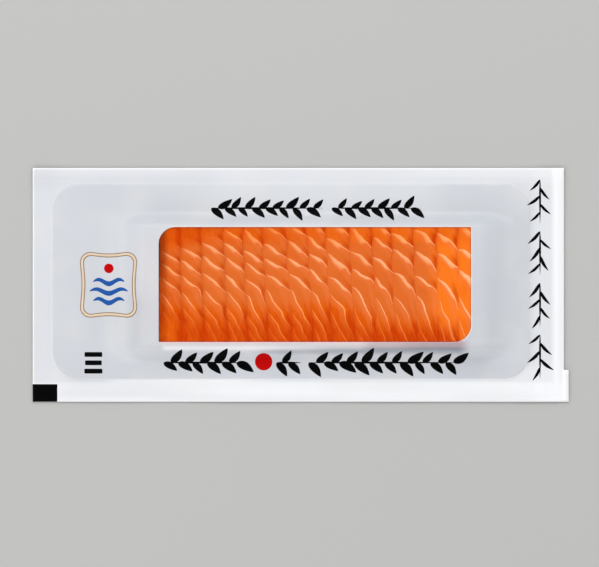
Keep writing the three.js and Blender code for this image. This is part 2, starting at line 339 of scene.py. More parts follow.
def waves(x, y, size, seed, count=6):
    """A smooth random swell between about -1 and 1 whose waves are about this long."""
    draw = np.random.default_rng(seed)
    total = np.zeros(np.broadcast(x, y).shape)
    for _ in range(count):
        angle = draw.uniform(0, 2 * math.pi)
        pace = 2 * math.pi / (size * draw.uniform(0.7, 1.5))
        total += np.sin((x * math.cos(angle) + y * math.sin(angle)) * pace + draw.uniform(0, 2 * math.pi))
    return total / math.sqrt(count) / 1.4


def past_box(box, x, y):
    """How far a place lies past a box's sides: below 0 inside it."""
    return np.maximum.reduce([box.left - x, x - box.right, box.bottom - y, y - box.top])


def past_rounded(box, corner, x, y):
    """The same for a box with round corners."""
    over_x = np.maximum(box.left + corner - x, x - box.right + corner)
    over_y = np.maximum(box.bottom + corner - y, y - box.top + corner)
    outside = np.hypot(np.maximum(over_x, 0), np.maximum(over_y, 0))
    return outside + np.minimum(np.maximum(over_x, over_y), 0) - corner


def past_board(x, y):
    """How far a place lies outside the rounded field over the board."""
    return past_rounded(POCKET, POCKET_CORNER, x, y)


def past_crown(x, y):
    """0 over the loin's crown and 1 where the upper film reaches the board."""
    along = np.maximum(np.maximum((CROWN_LEFT - x) / FALL_LEFT, (x - CROWN_RIGHT) / FALL_RIGHT), 0)
    aside = np.maximum((np.abs(y) - CROWN_HALF_WIDTH) / FALL_SIDE, 0)
    return np.hypot(along, aside)


def crown_share(x, y):
    """1 over the loin's crown, falling to 0 where the upper film reaches the board."""
    return ease_down(past_crown(x, y)) ** FALL_TOE


def seam(k, y):
    """Where cut k shows on top of the loin."""
    inner = math.sin(math.pi * k / SLICE_COUNT)
    across = -y / (2 * LOIN_HALF_WIDTH)
    return LOIN_START + SLICE_PITCH * k + inner * (SEAM_SLANT * across + SEAM_WOBBLE * math.sin(1.9 * k))


def share_across(x, y):
    """How far across its slice a place lies: 0 at the left cut, 1 at the right one."""
    cuts = np.array([seam(k, y) for k in range(SLICE_COUNT + 1)])
    k = np.clip((x >= cuts).sum(0) - 1, 0, SLICE_COUNT - 1)
    left = np.take_along_axis(cuts, k[None], 0)[0]
    right = np.take_along_axis(cuts, k[None] + 1, 0)[0]
    return np.clip((x - left) / (right - left), 0, 1)


def slice_fall(across):
    """0 on the crest of a slice and 1 at its cuts, with a blunt left edge."""
    rise = 1 - np.sqrt(np.clip(1 - (1 - across / CREST) ** 2, 0, 1))
    fall = ease_up((across - CREST) / (1 - CREST)) ** 1.2
    return np.where(across < CREST, rise, fall)


def loin_top(x, y):
    """The height of the loin without the dips between its slices."""
    arch = LOIN_ARCH * (y / LOIN_HALF_WIDTH) ** 2
    return BOARD_TOP + (LOIN_HEIGHT - arch) * crown_share(x, y)


# ---- meshes ----


def new_object(name, data, *materials):
    thing = bpy.data.objects.new(name, data)
    bpy.context.scene.collection.objects.link(thing)
    for material in materials:
        data.materials.append(material)
    return thing


def add_piece(name, mesh, material, node=None):
    """Adds a piece of the pack, which stands for a solid where one is named."""
    piece = new_object(name, mesh, material)
    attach(piece, "root")
    if node:
        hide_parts(node)


def add_attribute(mesh, name, values):
    attribute = mesh.attributes.new(name, "FLOAT", "POINT")
    attribute.data.foreach_set("value", np.asarray(values, np.float32).ravel())


def build_mesh(name, points, faces, smooth):
    """A mesh from its points, its faces and whether each face is shaded smooth."""
    mesh = bpy.data.meshes.new(name)
    mesh.from_pydata(np.asarray(points).tolist(), [], [list(map(int, face)) for face in faces])
    mesh.polygons.foreach_set("use_smooth", np.asarray(smooth, bool))
    mesh.update()
    return mesh


def build_shell(name, net, triangles, top, bottom, attributes=None):
    """A closed thin piece over triangles of a net, between two heights at each point of the net."""
    used, triangles = np.unique(triangles, return_inverse=True)
    triangles = triangles.reshape(-1, 3)
    count = len(used)
    points = np.vstack([np.column_stack([net[used], z[used]]) for z in (top, bottom)])
    edges = np.vstack([triangles[:, [0, 1]], triangles[:, [1, 2]], triangles[:, [2, 0]]])
    known = set(map(tuple, edges.tolist()))
    rim = [(a, b) for a, b in edges.tolist() if (b, a) not in known]
    sides = [(a, a + count, b + count, b) for a, b in rim]
    faces = [*triangles.tolist(), *(triangles[:, ::-1] + count).tolist(), *sides]
    smooth = [True] * (2 * len(triangles)) + [False] * len(sides)
    mesh = build_mesh(name, points, faces, smooth)
    for key, values in (attributes or {}).items():
        add_attribute(mesh, key, np.tile(values[used], 2))
    return mesh


def divided(outline, step):
    """The same outline with no side longer than a step."""
    parts = []
    for start, end in zip(outline, np.roll(outline, -1, axis=0)):
        count = max(1, math.ceil(np.hypot(*(end - start)) / step))
        parts.append(start + (end - start) * np.arange(count)[:, None] / count)
    return np.vstack(parts)


def triangulate(xs, ys, outlines, step):
    """Triangles over a grid that follow every outline, and the last outline that each of them is inside."""
    grid = np.stack(np.meshgrid(xs[1:-1], ys[1:-1]), -1).reshape(-1, 2)
    points = [Vector(place) for place in grid]
    loops = []
    for outline in (divided(outline, step) for outline in outlines):
        loops.append(list(range(len(points), len(points) + len(outline))))
        points += [Vector(place) for place in outline]
    places, _, triangles, _, _, inside = delaunay_2d_cdt(points, [], loops, 1, 1e-7, True)
    net = np.array([tuple(place) for place in places])
    kept = [i for i, around in enumerate(inside) if around]
    triangles = np.array(triangles)[kept]
    first, second, third = (net[triangles[:, i]] for i in range(3))
    down = np.cross(second - first, third - first) < 0
    triangles[down] = triangles[down][:, ::-1]
    return net, triangles, [max(inside[i]) for i in kept]


# ---- outlines, as closed loops of places, anticlockwise ----


def arc(x, y, radius, start, end, steps):
    """Places on a circle, between two numbers of quarter turns."""
    turns = np.linspace(start, end, steps + 1) * math.pi / 2
    return np.column_stack([x + radius * np.cos(turns), y + radius * np.sin(turns)])


def rounded_outline(box, radii, steps=10):
    """A box's outline. The radii are for its lower left, lower right, upper right and upper left corners."""
    corners = (
        (box.left, 1, box.bottom, 1),
        (box.right, -1, box.bottom, 1),
        (box.right, -1, box.top, -1),
        (box.left, 1, box.top, -1),
    )
    parts = []
    for (x, inward_x, y, inward_y), radius, start in zip(corners, radii, (2, 3, 0, 1)):
        parts.append(arc(x + inward_x * radius, y + inward_y * radius, radius, start, start + 1, steps))
    return np.vstack(parts)


def film_outline():
    """The outline of the whole pack with its tab."""
    shoulder = FILM.bottom + TAB_HEIGHT
    tab = FILM.right + TAB_REACH
    tab_corners = [(tab, FILM.bottom), (tab, shoulder), (FILM.right, shoulder)]
    return np.array([(FILM.left, FILM.bottom), *tab_corners, (FILM.right, FILM.top), (FILM.left, FILM.top)])


def window_outline(by=0.0):
    """The window's outline, moved out by a distance."""
    tight, wide = TIGHT_CORNER + by, WINDOW_CORNER + by
    return rounded_outline(grown(WINDOW, by), (tight, wide, tight, wide), steps=16)


def board_outline(by, steps=10):
    """The outline of the rounded field over the board, moved out by a distance."""
    return rounded_outline(grown(POCKET, by), [POCKET_CORNER + by] * 4, steps)


def centred_box(x, y, width, height):
    return SimpleNamespace(left=x - width / 2, right=x + width / 2, bottom=y - height / 2, top=y + height / 2)


def bar(x, y, width, height, corner):
    return rounded_outline(centred_box(x, y, width, height), [corner] * 4, steps=4)


def plaque(x, y, width, height, corner, bow=0.07):
    """A rounded box whose sides bend inwards."""
    outline = divided(rounded_outline(centred_box(x, y, width, height), [corner] * 4), 1.5 * MM) - (x, y)
    pulled = 1 - bow * np.cos(np.pi / 2 * np.clip(outline / (width / 2, height / 2), -1, 1)) ** 2
    return outline * pulled[:, ::-1] + (x, y)


def disc(x, y, radius):
    return arc(x, y, radius, 0, 4, 48)[:-1]


def leaf(x, y, long, wide, angle, curl=0.06, belly=0.4, steps=14):
    """A pointed brush stroke that starts at a place and runs at an angle, widest at its belly."""
    t = np.linspace(0, 1, steps + 1)
    half = wide / 2 * np.sin(np.pi * t ** (math.log(0.5) / math.log(belly))) ** 0.8
    middle = curl * long * np.sin(np.pi * t)
    lower = np.column_stack([t * long, middle - half])
    upper = np.column_stack([t * long, middle + half])[::-1]
    turn = np.array([[math.cos(angle), math.sin(angle)], [-math.sin(angle), math.cos(angle)]])
    return np.vstack([lower[:-1], upper[:-1]]) @ turn + (x, y)


def wave_band(x, y, width, thickness, height, crests, steps=36):
    """A band that waves from left to right and tapers at both ends."""
    t = np.linspace(0, 1, steps + 1)
    middle = y + height * np.sin(2 * math.pi * crests * t)
    half = thickness / 2 * np.clip(np.sin(np.pi * t), 0, 1) ** 0.5
    across = x + (t - 0.5) * width
    lower = np.column_stack([across, middle - half])
    upper = np.column_stack([across, middle + half])[::-1]
    return np.vstack([lower[:-1], upper[:-1]])


# ---- the print: plain leaves, waves and bars in the places of its lines, badge and signs ----


# Each row's place up the pack, the length, width and spacing of its leaves, and the start, reach and seed of
# each of its branches. All but the seeds are in millimetres.
BRANCH_ROWS = (
    (43.3, (8.4, 3.4, 3.8), ((-50.5, 64, 1), (17.5, 51, 2))),
    (-43.9, (9.8, 4.2, 4.3), ((-77.4, 48.5, 3), (-13.6, 14, 4), (4.5, 89, 5))),
)
COLUMN_LEAVES = (9.0, 1.7, 4.6)
COLUMN_X, COLUMN_TOP, COLUMN_PITCH, COLUMN_REACH, COLUMN_COUNT = 135.2, 59.5, 29.2, 25, 4
STEM_WIDTH = 1.1 * MM
ROW_DISC = (-20.9 * MM, -43.4 * MM, 4.9 * MM)
BAR_X, BAR_TOP, BAR_PITCH, BAR_HEIGHT, BAR_CORNER = -117.0, -39.3, 4.7, 2.7, 0.5
BAR_WIDTHS = (10.0, 9.4, 10.2)
BADGE_X, BADGE_WIDTH, BADGE_HEIGHT, BADGE_CORNER = -108.3, 33.2, 38, 7
BADGE_LINES = (("gold", 0), ("cream", 0.55), ("gold", 1.85), ("film", 2.4))
WAVE_WIDTHS = (18, 22, 18)
MARK_WIDTH, MARK_HEIGHT = 13.9 * MM, 9.9 * MM


def leafy_branch(x, y, reach, angle, leaves, seed):
    """A thin stem with leaves on both sides by turns, all leaning to its tip."""
    draw = np.random.default_rng(seed)
    leaf_long, leaf_wide, spacing = (size * MM for size in leaves)
    regions = [("black", leaf(x, y, reach, STEM_WIDTH, angle, curl=0, steps=40))]
    count = round((reach - 0.75 * leaf_long) / spacing) + 1
    for i in range(count):
        along = (reach - 0.75 * leaf_long) * i / (count - 1)
        side = 1 if i % 2 else -1
        lean = side * draw.uniform(0.5, 0.95)
        size = draw.uniform(0.85, 1.15)
        start_x, start_y = x + along * math.cos(angle), y + along * math.sin(angle)
        outline = leaf(start_x, start_y, size * leaf_long, size * leaf_wide, angle + lean, curl=-0.06 * side)
        regions.append(("black", outline))
    return regions


def badge_regions(x, y):
    """A frame with a disc over waves inside it."""
    regions = []
    for colour_name, inset in BADGE_LINES:
        width, height = (BADGE_WIDTH - 2 * inset) * MM, (BADGE_HEIGHT - 2 * inset) * MM
        regions.append((colour_name, plaque(x, y, width, height, (BADGE_CORNER - inset) * MM)))
    regions.append(("red", disc(x, y + 9.3 * MM, 2.7 * MM)))
    for i, width in enumerate(WAVE_WIDTHS):
        regions.append(("blue", wave_band(x, y + (1.8 - 5.4 * i) * MM, width * MM, 2.8 * MM, 1.2 * MM, 1.5)))
    return regions


def print_regions():
    """(colour, outline) of each printed shape, in painting order."""
    regions = []
    for y, leaves, branches in BRANCH_ROWS:
        for start, reach, seed in branches:
            regions += leafy_branch(start * MM, y * MM, reach * MM, 0, leaves, seed)
    regions.append(("red", disc(*ROW_DISC)))
    for i in range(COLUMN_COUNT):
        top = (COLUMN_TOP - COLUMN_PITCH * i) * MM
        regions += leafy_branch(COLUMN_X * MM, top, COLUMN_REACH * MM, -math.pi / 2, COLUMN_LEAVES, 6 + i)
    for i, width in enumerate(BAR_WIDTHS):
        y = (BAR_TOP - BAR_PITCH * i) * MM
        regions.append(("black", bar(BAR_X * MM, y, width * MM, BAR_HEIGHT * MM, BAR_CORNER * MM)))
    regions += badge_regions(BADGE_X * MM, 0.0)
    left, bottom = FILM.left, FILM.bottom
    right, top = left + MARK_WIDTH, bottom + MARK_HEIGHT
    regions.append(("black", np.array([(left, bottom), (right, bottom), (right, top), (left, top)])))
    return regions


# ---- the upper film ----


WELD_GAP = 0.05 * MM
DEEPEST_GROOVE = 0.1 * MM
SOFT_SWELL = 0.12 * MM
BOARD_RINGS = (1.6, 1.2, 0.8, 0.4, 0.0, -0.4, -0.8)


def stepped(low, high, fine_low, fine_high, fine, coarse):
    """Numbers from low to high, close together between fine_low and fine_high."""

    def spread(start, end, step):
        return np.linspace(start, end, max(2, round((end - start) / step) + 1))

    parts = spread(low, fine_low, coarse), spread(fine_low, fine_high, fine), spread(fine_high, high, coarse)
    return np.unique(np.concatenate(parts).round(7))


@lru_cache(maxsize=1)
def film_net(fine, coarse):
    """A net of triangles over the whole film that follows every outline, and what each triangle shows."""
    left, right = CROWN_LEFT - FALL_LEFT, CROWN_RIGHT + FALL_RIGHT
    reach = CROWN_HALF_WIDTH + FALL_SIDE + 2 * MM
    xs = stepped(FILM.left, FILM.right, left, right, fine, coarse)
    ys = stepped(FILM.bottom, FILM.top, -reach, reach, fine, coarse)
    regions = [("film", film_outline())]
    for by in BOARD_RINGS:
        regions.append(("film", board_outline(by * MM, steps=14)))
    regions.append(("film", window_outline(0.5 * MM)))
    regions.append(("window", window_outline()))
    regions += print_regions()
    net, triangles, innermost = triangulate(xs, ys, [outline for _, outline in regions], fine)
    return net, triangles, np.array([regions[i][0] for i in innermost])


def margin_lift(film, x, y):
    """How far the welded margin stands off the surface: not at all at the board, most at the outer edge."""
    outward = np.clip(past_board(x, y) / (16 * MM), 0, 1)
    swell = 0.55 + 0.45 * waves(x, y, 90 * MM, 11)
    return film.lift * outward**2 * np.clip(swell, 0.05, 1.2)


def ridges(film, x, y):
    """The pressed ridges and grooves of the weld, along the right and lower margins."""
    right = bell(x, 143.4, 1.5) - 0.6 * bell(x, 139.9, 1.0)
    lower = 0.4 * bell(y, -59.0, 3.0) - bell(y, -63.7, 0.8)
    outside = np.clip(past_board(x, y) / (4 * MM), 0, 1)
    return film.ridge * outside * (right + lower)


def film_top(film, x, y):
    """The outer face of the upper film."""
    on_board = fade_out(past_board(x, y), -0.6, 2)
    across = share_across(x, y)
    fall = np.where(across < CREST, ease_down(across / CREST), ease_up((across - CREST) / (1 - CREST)))
    sunk = film.dip * fall * ease_down(past_box(WINDOW, x, y) / film.dip_fade)
    over = loin_top(x, y) + FILM_CLEARANCE - sunk * crown_share(x, y)
    swell = SOFT_SWELL * waves(x, y, 32 * MM, 3) * (1 - crown_share(x, y))
    pressed = np.maximum(ridges(film, x, y) + DEEPEST_GROOVE, 0)
    weld = film.lower_thickness + margin_lift(film, x, y) + WELD_GAP + pressed
    return blend(weld, over + swell, on_board) + film.thickness


def from_window(x, y):
    """How far a place lies outside the window, whose round corners are its upper left and lower right."""
    round_corner = (x < WINDOW.left + WINDOW_CORNER) & (y > WINDOW.top - WINDOW_CORNER)
    round_corner |= (x > WINDOW.right - WINDOW_CORNER) & (y < WINDOW.bottom + WINDOW_CORNER)
    return np.where(round_corner, past_rounded(WINDOW, WINDOW_CORNER, x, y), past_box(WINDOW, x, y))


def board_tone_and_painted_light(x, y):
    """The printed film where the board lies under it, with painted light and shade: lighter over the window and
    towards the top, greyer to its right and at the loin's right end.
    """
    # Painted light over the window, on the film's slope above the loin.
    over_window = fade_in(y, 33, 12) * fade_in(x, -82, 45)
    tone = 0.55 + 0.025 * y / POCKET.top + 0.02 * waves(x, y, 60 * MM, 21)
    tone += 0.1 * over_window * blend(1.0, 0.35, fade_in(x, 50, 45))
    # Painted shade: greyer to the right and on the loin's right shoulder.
    return tone - 0.03 * fade_in(x, 20, 80) - 0.03 * bell(x, 102, 9) * fade_out(np.abs(y), 25, 10)


def under_window(x):
    """1 along the window's lower side, fading out at its two ends."""
    return fade_in(x - WINDOW.left, 1, 3) * fade_out(x - WINDOW.right, -7.5, 8)


def painted_salmon_reflection(x, y):
    """How much painted reflection of the salmon's colour the film shows, most of it along the window's lower
    side.
    """
    past = WINDOW.bottom - y
    at_edge = 0.35 * bell(np.maximum(past, 0), 0, 0.9)
    at_edge *= fade_in(x - WINDOW.left, 0, 2) * fade_out(x - WINDOW.right, -5, 4)
    fold = blend(0.06, 0.17, fade_in(x, 10, 40)) * fade_out(past, 2, 3) * under_window(x)
    beside = 0.05 * bell(x, -86, 5) * fade_out(np.abs(y), 20, 14)
    return np.where(past > -0.1 * MM, np.maximum(at_edge, fold), beside)


def painted_fold_light_and_shade(x, y):
    """Painted light and shade on the film's folds: a painted highlight under the window's left part, painted
    shade under its right part, and painted shade on the slope left of the window.
    """
    # A painted highlight along the fold under the window, then painted shade below it and under the window's
    # right part.
    light = 0.42 * bell(y, -35.6, 1.3) * fade_out(x, -20, 50)
    plateau = 0.27 * fade_in(x, 32, 9) + 0.18 * fade_in(x, 50, 14)
    plateau *= fade_out(-y, 35.5, 2)
    dark = bell(y, -37.3, 1.7) * blend(0.28, 0.42, fade_in(x, -35, 80)) * fade_in(x, -30, 18)
    under = (light - plateau - dark) * under_window(x) * fade_out(y, -32, 0.5)
    # Painted shade on the film's slope left of the window.
    left = bell(x, -92.3, 4.6) * fade_in(-y, 1, 12) * fade_out(-y, 30, 8)
    return under - 0.11 * left


def margin_tone_and_ridge_light(x, y):
    """The printed film on the weld: whitest along the lower and the right edge, greyest at the lower left, with
    painted highlights on the right ridge and along the upper crease and painted shade in the grooves.
    """
    tone = 0.69 + 0.05 * fade_in(y - POCKET.top, 0, 6) + 0.015 * waves(x, y, 45 * MM, 22)
    # A painted highlight along the crease of the upper margin.
    tone += 0.04 * bell(y, 58.4, 1.2) + 0.05 * fade_in(x - POCKET.right, 0, 6)
    streak = 0.5 + 0.5 * waves(x / 9, y, 9 * MM, 23)
    lower = 0.1 * fade_out(y, -49, 6) + (0.1 + 0.08 * streak) * fade_out(y, -56.2, 2.2)
    # Painted shade in the lower groove.
    lower -= 0.05 * bell(y, -63.7, 1.0)
    # A painted highlight on the right ridge and painted shade in the groove beside it.
    right = (0.16 + 0.12 * bell(x, 144.3, 1.6)) * fade_in(x, 141, 2.5) - 0.04 * bell(x, 139.6, 0.9)
    tone += np.maximum(lower, right) - 0.03 * fade_out(x, -145, 10)
    # Painted shade beside the upper crease.
    tone -= 0.07 * fade_out(x, -75, 40) * bell(y, 59.6, 4)
    tone += 0.06 * fade_in(x, 40, 40) * fade_in(y, 59.5, 2.5)
    lower_left = fade_out(x, -105, 85) * blend(1.0, 0.65, fade_out(x, -140, 10))
    lower_left *= fade_out(y, -47.5, 3.5) * blend(0.4, 1.0, fade_in(y, -64.2, 2.5))
    weld = bell(y, -54.1, 1.3) * fade_in(x, -114, 14) * fade_out(x, -55, 50)
    return tone - 0.13 * lower_left + 0.19 * weld


def evened(film, x, y):
    """Evens out the main light: lighter where the film slopes from it or meets the board, else darker."""
    by = 0.3 * MM
    slope = (film_top(film, x, y + by) - film_top(film, x, y - by)) / (2 * by)
    toe = bell(past_crown(x, y), 1.08, 0.28, unit=1) * blend(1.0, 0.25, fade_in(x, 70, 40))
    return np.clip(0.06 * slope, -0.065, 0.1) + (0.05 - 0.02 * np.clip(y / (40 * MM), -1, 1)) * toe


def film_tone(x, y):
    """How light the printed film is: greyer over the board than on the weld, with painted light and shade on
    its folds, slopes and ridges.
    """
    past = past_board(x, y) - 0.4 * MM * fade_out(y, -48, 4)
    return blend(margin_tone_and_ridge_light(x, y), board_tone_and_painted_light(x, y) + painted_fold_light_and_shade(x, y), fade_out(past, -0.4, 0.8))


def upper_film(film):
    """The upper film's net, its triangles, what each of them shows, and its height at each point."""
    net, triangles, shows = film_net(film.fine_step, film.coarse_step)
    return net, triangles, shows, film_top(film, *net.T)


class PACK_OT_printed_film(bpy.types.Operator):
    """Builds the printed part of the upper film"""

    bl_idname = "pack.printed_film"
    bl_label = "Printed film"

    def execute(self, context):
        film = context.scene.pack_film
        net, triangles, shows, top = upper_film(film)
        x, y = net.T
        attributes = {
            # The film's tone, with its painted light and shade.
            "tone": film_tone(x, y) + evened(film, x, y),
            "from_edge": -past_box(FILM, x, y) / MM,
            "from_window": from_window(x, y) / MM,
            "painted_salmon_reflection": painted_salmon_reflection(x, y),
            "rim": fade_in(y - WINDOW.bottom, 0, 4) * fade_in(x - WINDOW.left, 2, 6),
        }
        printed = triangles[shows != "window"]
        mesh = build_shell("printed_film", net, printed, top, top - film.thickness, attributes)
        add_piece("printed_film_piece", mesh, printed_material(film), "printed_film")
        return {"FINISHED"}


class PACK_OT_window_film(bpy.types.Operator):
    """Builds the clear part of the upper film"""

    bl_idname = "pack.window_film"
    bl_label = "Window"

    def execute(self, context):
        film = context.scene.pack_film
        net, triangles, shows, top = upper_film(film)
        mesh = build_shell("window_film", net, triangles[shows == "window"], top, top - film.thickness)
        add_piece("window_film_piece", mesh, clear_material(), "window_film")
        return {"FINISHED"}


class PACK_OT_print(bpy.types.Operator):
    """Builds the ink on the printed film, one piece for each of its colours"""

    bl_idname = "pack.print"
    bl_label = "Print"

    def execute(self, context):
        ink = context.scene.pack_print
        net, triangles, shows, top = upper_film(context.scene.pack_film)
        for name in ("black", "red", "gold", "cream", "blue"):
            mesh = build_shell(f"print_{name}", net, triangles[shows == name], top + ink.ink_height, top)
            add_piece(f"print_{name}", mesh, ink_material(name, getattr(ink, name), ink.haze))
        return {"FINISHED"}


def printed_material(film):
    """Satin film: clouded, a little grained, with a painted reflection of the salmon near the window, a painted
    highlight along its outer edge, and paler along the window's edge.
    """
    shader = Shader("printed film")
    cloud = shader.noise(30 * MM, 3)
    grain = shader.noise(1.2 * MM, 1)
    tone = shader.attribute("tone") + (cloud - 0.5) * 0.06
    warm = shader.step(shader.noise(22 * MM, 3), 0.45, 0.7)
    tinted = shader.mix(warm * 0.1, shader.mix(tone, film.dark_colour, film.light_colour), film.warm_tint)
    # A painted reflection of the salmon on the film near the window.
    with_reflection = shader.mix(shader.attribute("painted_salmon_reflection"), tinted, film.painted_reflection_colour)
    # A painted highlight along the film's outer edge.
    edge = 1 - shader.step(shader.attribute("from_edge"), 0.4, 1.0)
    rim = (1 - shader.step(shader.attribute("from_window"), 0.3, 0.6)) * shader.attribute("rim")
    with_edge_highlight = shader.mix(edge * 0.8, with_reflection, film.edge_highlight_colour)
    rimmed = shader.mix(rim * 0.55, with_edge_highlight, film.rim_colour)
    rough = film.roughness + (cloud - 0.5) * 0.1
    bump = shader.bump(grain, 0.02 * MM, 0.3)
    surface = shader.surface(Base_Color=rimmed, Roughness=rough, Normal=bump, Specular_IOR_Level=0.3)
    return shader.finish(surface)


def clear_material():
    """Clear film: what is behind it shows through, under a gloss that is stronger at a slant."""
    shader = Shader("clear film")
    behind = shader.node("ShaderNodeBsdfTransparent", None, {"Color": (1, 1, 1)})
    gloss = shader.node("ShaderNodeBsdfGlossy", None, {"Color": (0.9, 0.9, 0.9), "Roughness": 0.08})
    slant = shader.node("ShaderNodeLayerWeight", None, {"Blend": 0.5}, output="Facing")
    reflected = 0.002 + 0.35 * slant**4.0
    surface = shader.node("ShaderNodeMixShader", None, (reflected, behind, gloss))
    return shader.finish(surface)


def ink_material(name, ink_colour, haze):
    shader = Shader(f"{name} ink")
    cloud = shader.noise(6 * MM, 3)
    shown = shader.mix(cloud * 0.01, ink_colour, haze)
    surface = shader.surface(Base_Color=shown, Roughness=0.4 + cloud * 0.1, Specular_IOR_Level=0.03)
    return shader.finish(surface)


# ---- the lower film and the board ----


class PACK_OT_lower_film(bpy.types.Operator):
    """Builds the film under the board, which shows from below and at the edges"""

    bl_idname = "pack.lower_film"
    bl_label = "Lower film"

    def execute(self, context):
        film = context.scene.pack_film
        step = 3 * MM
        xs = np.linspace(FILM.left, FILM.right, round((FILM.right - FILM.left) / step))
        ys = np.linspace(FILM.bottom, FILM.top, round((FILM.top - FILM.bottom) / step))
        outlines = [film_outline(), *(board_outline(by * MM) for by in (1.2, 0.0, -1.2))]
        net, triangles, _ = triangulate(xs, ys, outlines, step)
        x, y = net.T
        bottom = margin_lift(film, x, y) + 0.18 * MM * fade_in(past_board(x, y), -1.2, 2.4)
        mesh = build_shell("lower_film", net, triangles, bottom + film.lower_thickness, bottom)
        add_piece("lower_film_piece", mesh, lower_material(film), "lower_film")
        return {"FINISHED"}


def lower_material(film):
    shader = Shader("lower film")
    cloud = shader.noise(40 * MM, 3)
    shown = shader.mix(cloud * 0.3, film.lower_colour, film.lower_cloud)
    bump = shader.bump(shader.noise(14 * MM, 3), 0.25 * MM, 0.4)
    surface = shader.surface(Base_Color=shown, Roughness=0.3 + cloud * 0.15, Normal=bump, Coat_Weight=0.15)
    return shader.finish(surface)


class PACK_OT_board(bpy.types.Operator):
    """Gives the board its grey, slightly fibrous face"""

    bl_idname = "pack.board"
    bl_label = "Backing board"

    def execute(self, context):
        film = context.scene.pack_film
        shader = Shader("backing board")
        fibre = shader.noise(3 * MM, 4, stretch=(0.3, 1, 1))
        shown = shader.mix(fibre * 0.5, film.board_face, film.board_fibre)
        bump = shader.bump(fibre, 0.05 * MM, 0.3)
        material = shader.finish(shader.surface(Base_Color=shown, Roughness=0.75, Normal=bump))
        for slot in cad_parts["backing_board"].material_slots:
            slot.material = material
        return {"FINISHED"}


# ---- the salmon ----

ROW_STEP = 0.5 * MM
ACROSS = [0, 0.02, 0.05, 0.09, 0.14, 0.2, CREST, 0.34, 0.41, 0.48, 0.55, 0.62, 0.69, 0.76, 0.83, 0.89]
ACROSS = np.array([*ACROSS, 0.94, 0.975, 1])


def to_right(k):
    """0 for the first slice and 1 for the last."""
    return k / (SLICE_COUNT - 1)


def line_spacing(salmon, k):
    return salmon.line_spacing * blend(1.0, salmon.line_spread, to_right(k) ** 1.7)


def line_drop(k, along):
    """How far a fat line comes down on its way across slice k, by how far down the loin it ends."""
    upper, lower = blend(8.0, 9.5, to_right(k)), blend(20.0, 28.0, to_right(k))
    return blend(upper, lower, fade_in(along, 33, 34)) * MM


def line_course(k, across, along):
    """The share of its drop that a fat line has made: an arch, rounder to the right and flatter low down."""
    arch = blend(blend(1.2, 2.1, to_right(k)), 1.0, fade_in(along, 24, 30))
    return 0.2 * across + 0.8 * np.clip(across, 0, 1) ** arch


def line_phase(salmon, k, across, along):
    """A number that is whole on each fat line of slice k and grows by 1 from a line to the next one below."""
    draw = np.random.default_rng(salmon.seed + 31 * k)
    shift = 0.12 * k + draw.uniform(-0.3, 0.3)
    turns = draw.uniform(0, 2 * math.pi, 3)
    uneven = 1.0 * np.sin(along / (5.5 * MM) + turns[0]) + 0.4 * np.sin(along / (2.6 * MM) + turns[1])
    bent = 0.4 * np.sin(5 * across + along / (3.1 * MM) + turns[2])
    drop = line_drop(k, along) * line_course(k, across, along)
    wavy = blend(0.45, 1.0, min(k / 5, 1))
    return (along - drop + wavy * (uneven + bent) * MM) / line_spacing(salmon, k) + shift


def scallop(salmon, k, y):
    """The wave of cut k, which swells to the left between two fat lines."""
    along = LOIN_HALF_WIDTH - y
    phase = line_phase(salmon, min(k, SLICE_COUNT - 1), np.zeros_like(y), along)
    inner = 1 if 0 < k < SLICE_COUNT else 0
    swell = 0.35 * np.sin(along / (3.3 * MM) + 5 * k) - 0.75 * np.abs(np.sin(np.pi * phase)) ** 0.7
    return swell * inner * MM


def cut_depth(y):
    """How much depth the cuts show across the loin: least in its middle, where the slices are pressed together.
    """
    return blend(1.0, 0.35, fade_out(np.abs(y + 3 * MM), 8, 14))


def slice_points(salmon, k):
    """The net over the top of slice k and the two lower corners of its sections, with the places in it."""
    rows = np.linspace(-LOIN_HALF_WIDTH, LOIN_HALF_WIDTH, round(2 * LOIN_HALF_WIDTH / ROW_STEP) + 1)
    left = seam(k, rows) + scallop(salmon, k, rows) + salmon.gap / 2
    right = seam(k + 1, rows) + scallop(salmon, k + 1, rows) - salmon.gap / 2
    across = np.broadcast_to(ACROSS, (len(rows), len(ACROSS)))
    y = np.broadcast_to(rows[:, None], across.shape)
    x = blend(left[:, None], right[:, None], across)
    along = LOIN_HALF_WIDTH - y
    crown_y = np.clip(y, -CROWN_HALF_WIDTH, CROWN_HALF_WIDTH)
    edge = (np.abs(y) - np.abs(crown_y)) / (LOIN_HALF_WIDTH - CROWN_HALF_WIDTH)
    fall = salmon.dip * slice_fall(across) * cut_depth(y)
    unrounded = loin_top(np.zeros_like(x), crown_y)
    rounded = unrounded - loin_top(np.zeros_like(x), y) + END_FALL * edge**2
    phase = line_phase(salmon, k, across, along)
    swell = salmon.relief * (np.abs(np.sin(np.pi * phase)) - 0.6) * np.sin(np.pi * across) ** 0.5
    z = loin_top(x, y) + FILM_CLEARANCE - salmon.film_gap - fall - END_FALL * edge**2 + swell
    cut_top = unrounded[:, 0] + FILM_CLEARANCE - salmon.film_gap - salmon.dip
    run = SLICE_LEAN * (cut_top - BOARD_TOP)
    top = np.stack([x + SLICE_LEAN * rounded, y, z], -1)
    foot_left = np.column_stack([left + (run if k else 0), rows, np.full_like(rows, BOARD_TOP)])
    foot_right = np.column_stack([right + run, rows, np.full_like(rows, BOARD_TOP)])
    return top, foot_left, foot_right, across, along, phase


